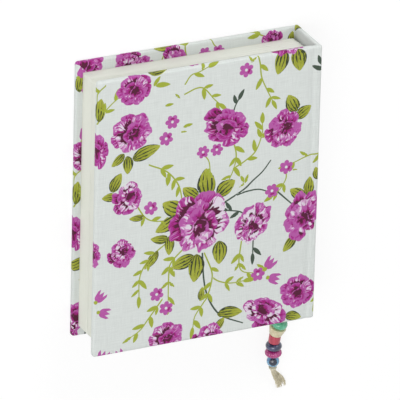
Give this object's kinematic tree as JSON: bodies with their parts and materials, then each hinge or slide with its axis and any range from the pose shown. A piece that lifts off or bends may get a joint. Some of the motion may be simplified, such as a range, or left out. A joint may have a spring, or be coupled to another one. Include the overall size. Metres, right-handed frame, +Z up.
{
  "type": "planner notebook",
  "caption": "Cloth-covered hardback planner bound on the right, with a thick block of cream leaves that opens flat, a turning cover and spine, and a beaded cord bookmark.",
  "frame": {"origin": "middle of the closed book on the surface that it lies on, under the rear cover", "axes": "+X towards the spine, +Y towards the head, +Z up through the front cover"},
  "size_m": [0.114, 0.1885, 0.027],
  "materials": {
    "cloth": "printed plain-weave cotton with magenta roses and green leaves",
    "greyboard": "bare grey board",
    "endpaper": "smooth uncoated paper",
    "pages": "cream uncoated leaves, cut edges",
    "liner": "kraft lining strip",
    "thread": "waxed linen thread",
    "cord": "twisted natural hemp",
    "bead_green": "glossy glaze",
    "bead_cream": "lacquered pale wood",
    "bead_red": "stained wood, satin",
    "bead_navy": "polished",
    "bead_magenta": "polished",
    "bead_blue": "glass with a dark core"
  },
  "bodies": {
    "rear_cover": {"rear_board": "greyboard", "rear_cloth": "cloth", "rear_pastedown": "endpaper", "rear_flyleaf": "endpaper", "section_1": "pages", "thread_1": "thread"},
    "spine": {"spine_board": "greyboard", "spine_cloth": "cloth", "spine_liner": "liner"},
    "front_cover": {"front_board": "greyboard", "front_cloth": "cloth", "front_pastedown": "endpaper", "front_flyleaf": "endpaper", "section_10": "pages", "thread_10": "thread"},
    "leaves_2": {"section_2": "pages", "thread_2": "thread"},
    "leaves_3": {"section_3": "pages", "thread_3": "thread"},
    "leaves_4": {"section_4": "pages", "thread_4": "thread"},
    "leaves_5": {"section_5": "pages", "thread_5": "thread", "bookmark_strip": "cord"},
    "leaves_6": {"section_6": "pages", "thread_6": "thread"},
    "leaves_7": {"section_7": "pages", "thread_7": "thread"},
    "leaves_8": {"section_8": "pages", "thread_8": "thread"},
    "leaves_9": {"section_9": "pages", "thread_9": "thread"},
    "bookmark": {"bookmark_tail": "cord", "bead_green": "bead_green", "bead_cream": "bead_cream", "bead_red": "bead_red", "bead_navy": "bead_navy", "bead_magenta": "bead_magenta", "bead_blue": "bead_blue", "cord_knot": "cord", "cord_tassel": "cord"}
  },
  "joints": [
    {"name": "cover_open", "type": "hinge", "parent": "spine", "child": "front_cover", "pos_m": [0.057, 0, 0.027], "axis": [0, 1, 0], "range_deg": [0, 90]},
    {"name": "spine_turn", "type": "hinge", "parent": "rear_cover", "child": "spine", "pos_m": [0.057, 0, 0], "axis": [0, 1, 0], "range_deg": [0, 90]},
    {"name": "leaves_2_slide", "type": "slide", "parent": "rear_cover", "child": "leaves_2", "axis": [1, 0, 0], "range_m": [0, 0.004]},
    {"name": "leaves_3_slide", "type": "slide", "parent": "rear_cover", "child": "leaves_3", "axis": [1, 0, 0], "range_m": [0, 0.008]},
    {"name": "leaves_4_slide", "type": "slide", "parent": "rear_cover", "child": "leaves_4", "axis": [1, 0, 0], "range_m": [0, 0.012]},
    {"name": "leaves_5_slide", "type": "slide", "parent": "rear_cover", "child": "leaves_5", "axis": [1, 0, 0], "range_m": [0, 0.016]},
    {"name": "leaves_6_slide", "type": "slide", "parent": "front_cover", "child": "leaves_6", "axis": [1, 0, 0], "range_m": [0, 0.016]},
    {"name": "leaves_7_slide", "type": "slide", "parent": "front_cover", "child": "leaves_7", "axis": [1, 0, 0], "range_m": [0, 0.012]},
    {"name": "leaves_8_slide", "type": "slide", "parent": "front_cover", "child": "leaves_8", "axis": [1, 0, 0], "range_m": [0, 0.008]},
    {"name": "leaves_9_slide", "type": "slide", "parent": "front_cover", "child": "leaves_9", "axis": [1, 0, 0], "range_m": [0, 0.004]},
    {"name": "bookmark_swing", "type": "hinge", "parent": "leaves_5", "child": "bookmark", "pos_m": [0.049, -0.0647, 0.0135], "axis": [0, 0, 1], "range_deg": [-20, 20]}
  ],
  "couplings": [
    {"joint": "spine_turn", "follows": "cover_open", "ratio": 1},
    {"joint": "leaves_2_slide", "follows": "cover_open", "m_per_rad": 0.0025465},
    {"joint": "leaves_3_slide", "follows": "cover_open", "m_per_rad": 0.005093},
    {"joint": "leaves_4_slide", "follows": "cover_open", "m_per_rad": 0.0076394},
    {"joint": "leaves_5_slide", "follows": "cover_open", "m_per_rad": 0.010186},
    {"joint": "leaves_6_slide", "follows": "cover_open", "m_per_rad": 0.010186},
    {"joint": "leaves_7_slide", "follows": "cover_open", "m_per_rad": 0.0076394},
    {"joint": "leaves_8_slide", "follows": "cover_open", "m_per_rad": 0.005093},
    {"joint": "leaves_9_slide", "follows": "cover_open", "m_per_rad": 0.0025465}
  ]
}
